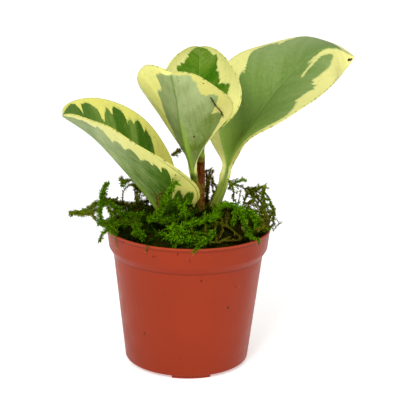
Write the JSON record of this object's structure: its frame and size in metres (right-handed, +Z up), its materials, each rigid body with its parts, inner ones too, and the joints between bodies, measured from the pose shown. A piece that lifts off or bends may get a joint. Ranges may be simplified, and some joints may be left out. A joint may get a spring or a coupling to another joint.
{
  "type": "potted peperomia",
  "caption": "Small potted peperomia with thick cream-edged green leaves on a short red-brown stem, in a terracotta-coloured plastic nursery pot dressed with loose moss.",
  "frame": {"origin": "middle of the pot's foot, on the surface that the pot stands on", "axes": "+Z up along the pot's axis, -Y towards the side the plant is looked at from, +X to the right from there"},
  "size_m": [0.1759, 0.1158, 0.1985],
  "materials": {
    "pot_plastic": "satin",
    "soil": "matte",
    "moss": "matte",
    "stem": "satin",
    "leaf": "satin"
  },
  "bodies": {
    "root": {"pot": "pot_plastic", "soil": "soil", "moss": "moss", "main_stem": "stem", "leaf_left": "leaf", "leaf_right": "leaf", "leaf_front": "leaf", "leaf_back": "leaf"}
  },
  "joints": []
}
